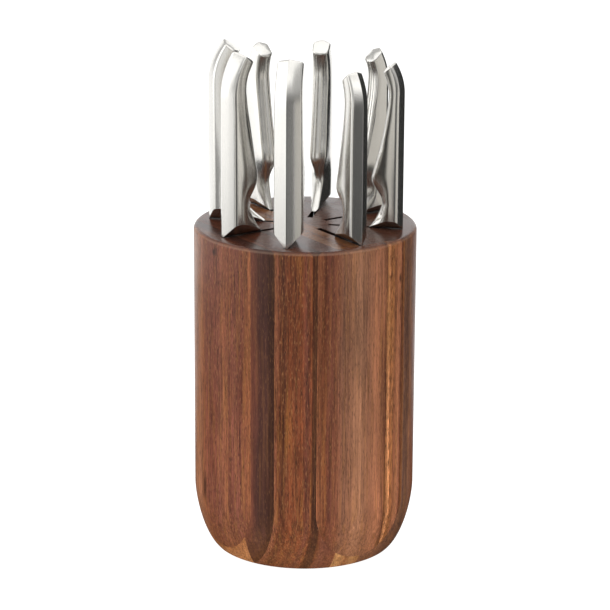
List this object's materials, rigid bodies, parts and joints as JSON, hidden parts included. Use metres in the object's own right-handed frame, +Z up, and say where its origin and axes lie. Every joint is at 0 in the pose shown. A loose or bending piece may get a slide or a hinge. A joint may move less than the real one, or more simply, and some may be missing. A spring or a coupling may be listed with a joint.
{
  "type": "knife block with knives",
  "caption": "Round turned acacia block with radial slots, holding all-steel kitchen knives that lift straight out; flat non-slip base.",
  "frame": {"origin": "centre of the underside of the non-slip pad, on the axis of the turned block", "axes": "+Z up along the block's axis, -Y towards the front, where the widest chestnut board is right of centre, +X to the right seen from the front"},
  "size_m": [0.155, 0.155, 0.362],
  "materials": {
    "acacia_reddish": "satin oiled, vertical grain",
    "acacia_chestnut": "satin oiled, vertical grain",
    "acacia_golden": "satin oiled, vertical grain",
    "acacia_tan": "satin oiled, vertical grain",
    "acacia_walnut": "satin oiled, vertical grain",
    "acacia_chocolate": "satin oiled, vertical grain",
    "acacia_umber": "satin oiled, vertical grain",
    "acacia_core": "satin oiled, vertical grain",
    "pad_rubber": "matt",
    "handle_steel": "satin brushed",
    "blade_steel": "fine ground, polished edge"
  },
  "bodies": {
    "block": {"left_front_cap_board": "acacia_reddish", "right_front_cap_board": "acacia_chestnut", "right_front_sapwood_strip": "acacia_golden", "right_front_edge_strip": "acacia_tan", "right_back_cap_board": "acacia_walnut", "left_back_cap_board": "acacia_reddish", "left_back_dark_strip": "acacia_chocolate", "left_back_edge_strip": "acacia_chestnut", "front_dark_board": "acacia_chocolate", "front_middle_board": "acacia_chestnut", "front_umber_strip": "acacia_umber", "right_umber_board": "acacia_umber", "right_walnut_board": "acacia_walnut", "back_chestnut_board": "acacia_chestnut", "back_walnut_board": "acacia_walnut", "left_walnut_board": "acacia_walnut", "left_tan_board": "acacia_tan", "core_wedge_front_right": "acacia_core", "core_wedge_right_front": "acacia_core", "core_wedge_right_back": "acacia_core", "core_wedge_back_right": "acacia_core", "core_wedge_back_left": "acacia_core", "core_wedge_left_back": "acacia_core", "core_wedge_left_front": "acacia_core", "core_wedge_front_left": "acacia_core", "core_centre_post": "acacia_umber", "short_slot_filler": "acacia_walnut", "base_board_left": "acacia_golden", "base_board_front": "acacia_umber", "base_board_middle": "acacia_tan", "base_board_right": "acacia_walnut", "non_slip_pad": "pad_rubber"},
    "carving_knife": {"carving_knife_handle": "handle_steel", "carving_knife_blade": "blade_steel"},
    "chopping_knife": {"chopping_knife_handle": "handle_steel", "chopping_knife_blade": "blade_steel"},
    "serrated_knife": {"serrated_knife_handle": "handle_steel", "serrated_knife_blade": "blade_steel"},
    "boning_knife": {"boning_knife_handle": "handle_steel", "boning_knife_blade": "blade_steel"},
    "santoku_knife": {"santoku_knife_handle": "handle_steel", "santoku_knife_blade": "blade_steel"},
    "paring_knife": {"paring_knife_handle": "handle_steel", "paring_knife_blade": "blade_steel"},
    "cooks_knife": {"cooks_knife_handle": "handle_steel", "cooks_knife_blade": "blade_steel"},
    "bread_knife": {"bread_knife_handle": "handle_steel", "bread_knife_blade": "blade_steel"}
  },
  "joints": [
    {"name": "carving_knife_draw", "type": "slide", "parent": "block", "child": "carving_knife", "axis": [0, 0, 1], "range_m": [0, 0.21]},
    {"name": "chopping_knife_draw", "type": "slide", "parent": "block", "child": "chopping_knife", "axis": [0, 0, 1], "range_m": [0, 0.14]},
    {"name": "serrated_knife_draw", "type": "slide", "parent": "block", "child": "serrated_knife", "axis": [0, 0, 1], "range_m": [0, 0.14]},
    {"name": "boning_knife_draw", "type": "slide", "parent": "block", "child": "boning_knife", "axis": [0, 0, 1], "range_m": [0, 0.16]},
    {"name": "santoku_knife_draw", "type": "slide", "parent": "block", "child": "santoku_knife", "axis": [0, 0, 1], "range_m": [0, 0.18]},
    {"name": "paring_knife_draw", "type": "slide", "parent": "block", "child": "paring_knife", "axis": [0, 0, 1], "range_m": [0, 0.1]},
    {"name": "cooks_knife_draw", "type": "slide", "parent": "block", "child": "cooks_knife", "axis": [0, 0, 1], "range_m": [0, 0.21]},
    {"name": "bread_knife_draw", "type": "slide", "parent": "block", "child": "bread_knife", "axis": [0, 0, 1], "range_m": [0, 0.21]}
  ]
}
